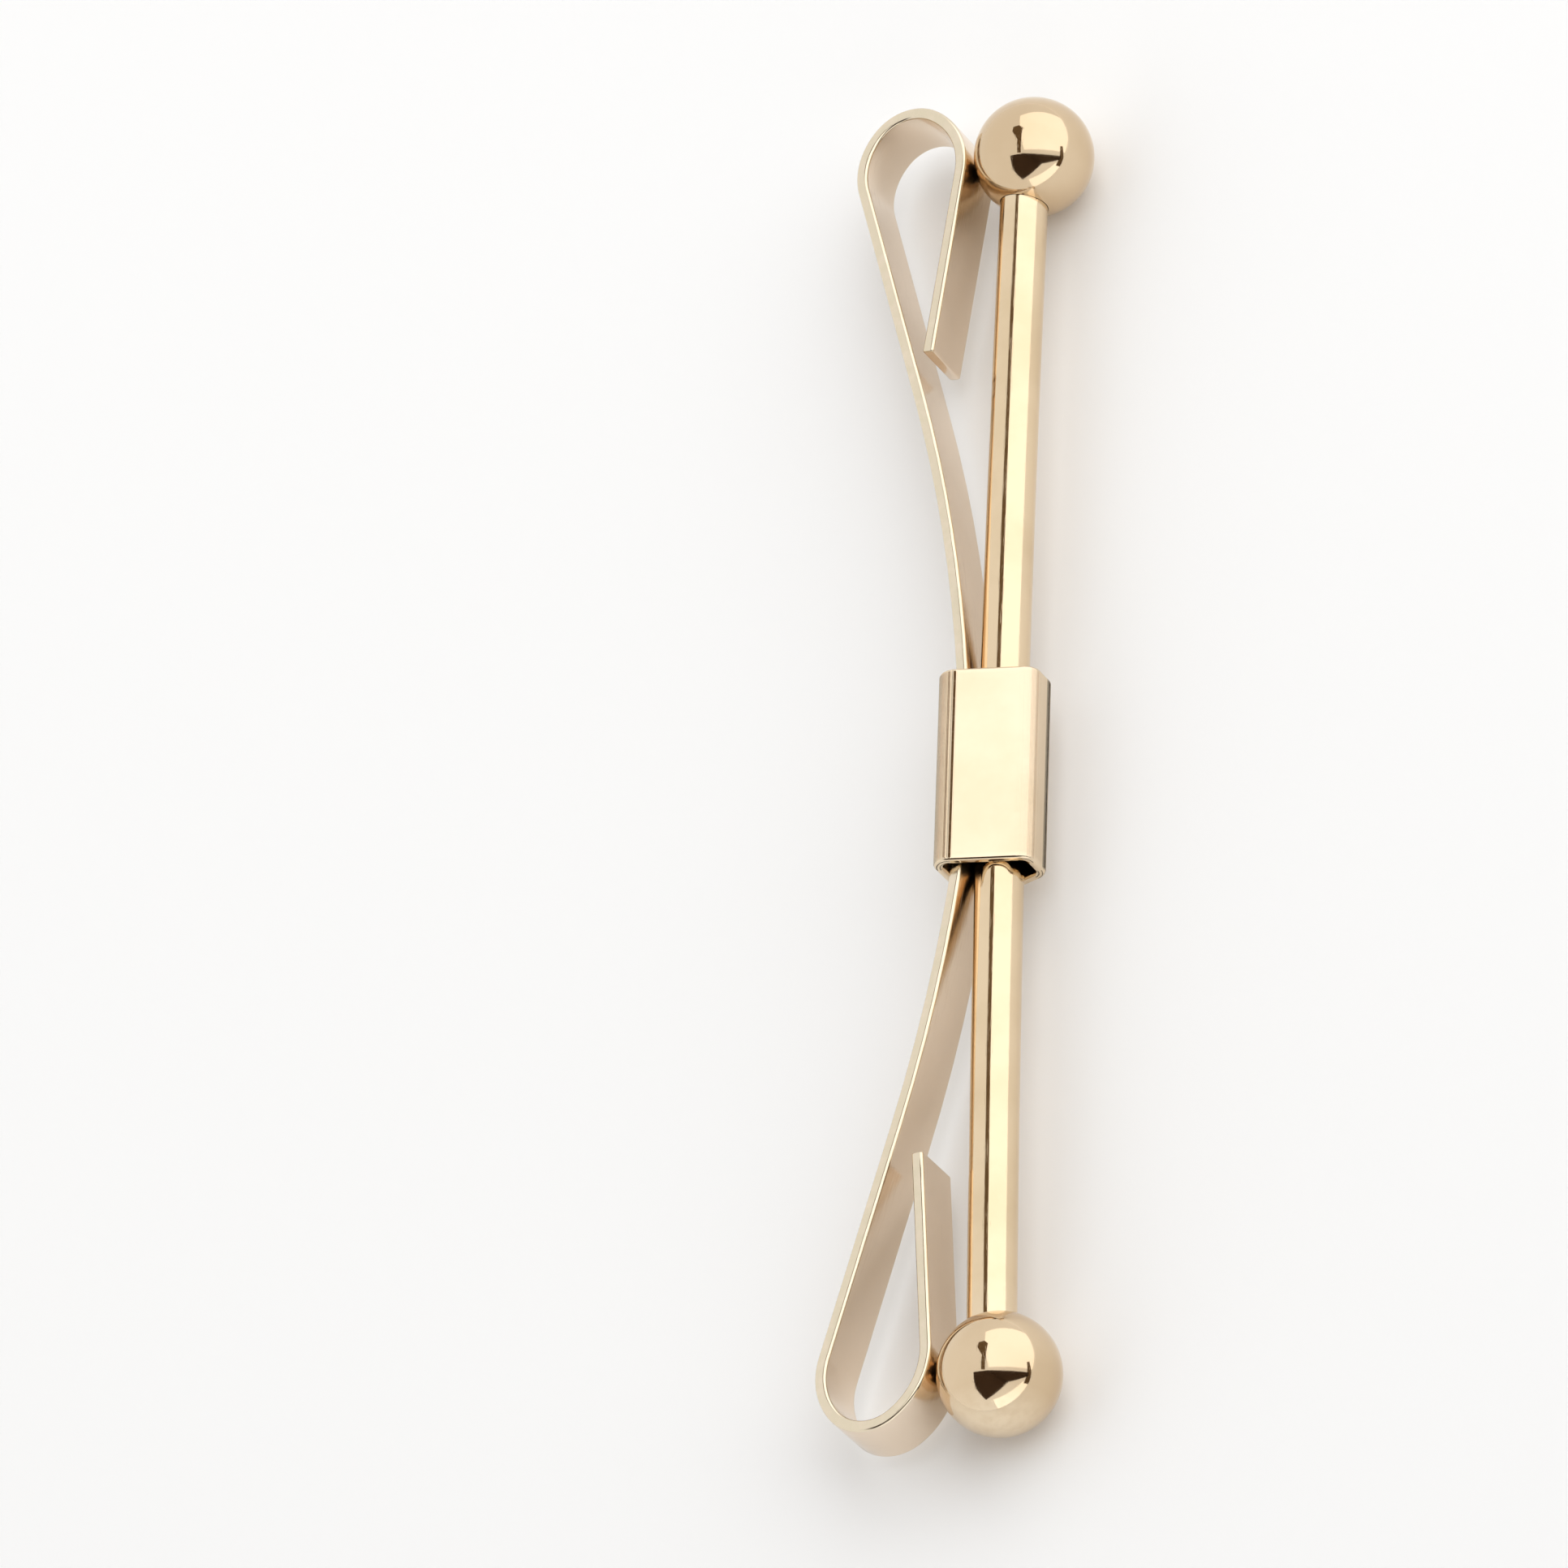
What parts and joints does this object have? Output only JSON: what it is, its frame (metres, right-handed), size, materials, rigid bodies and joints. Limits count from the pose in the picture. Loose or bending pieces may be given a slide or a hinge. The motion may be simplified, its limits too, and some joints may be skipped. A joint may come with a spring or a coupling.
{
  "type": "collar bar",
  "caption": "Slim round bar with a ball at each end and a looped flat spring strip held to its back by a folded sleeve.",
  "frame": {"origin": "the middle of the round bar's length, on the bar's own centre line", "axes": "+X along the bar towards the wearer's left, -Y out of the front, +Y towards the spring strip, +Z along the width of the strip"},
  "size_m": [0.0612, 0.01, 0.005],
  "materials": {
    "bar": "polished pale gold plating",
    "balls": "polished pale gold plating",
    "sleeve": "polished pale gold plating",
    "strip": "satin pale gold plating"
  },
  "bodies": {
    "bar": {"bar_rod": "bar", "ball_right": "balls", "ball_left": "balls", "sleeve": "sleeve", "spring_web": "strip"},
    "right_arm": {"spring_arm_right": "strip"},
    "left_arm": {"spring_arm_left": "strip"}
  },
  "joints": [
    {"name": "right_arm_opens", "type": "hinge", "parent": "bar", "child": "right_arm", "pos_m": [0.00328, 0.00158, 0], "axis": [0, 0, 1], "range_deg": [0, 8], "stiffness_Nm_per_rad": 0.37},
    {"name": "left_arm_opens", "type": "hinge", "parent": "bar", "child": "left_arm", "pos_m": [-0.00567, 0.00158, 0], "axis": [0, 0, -1], "range_deg": [0, 8], "stiffness_Nm_per_rad": 0.37}
  ]
}
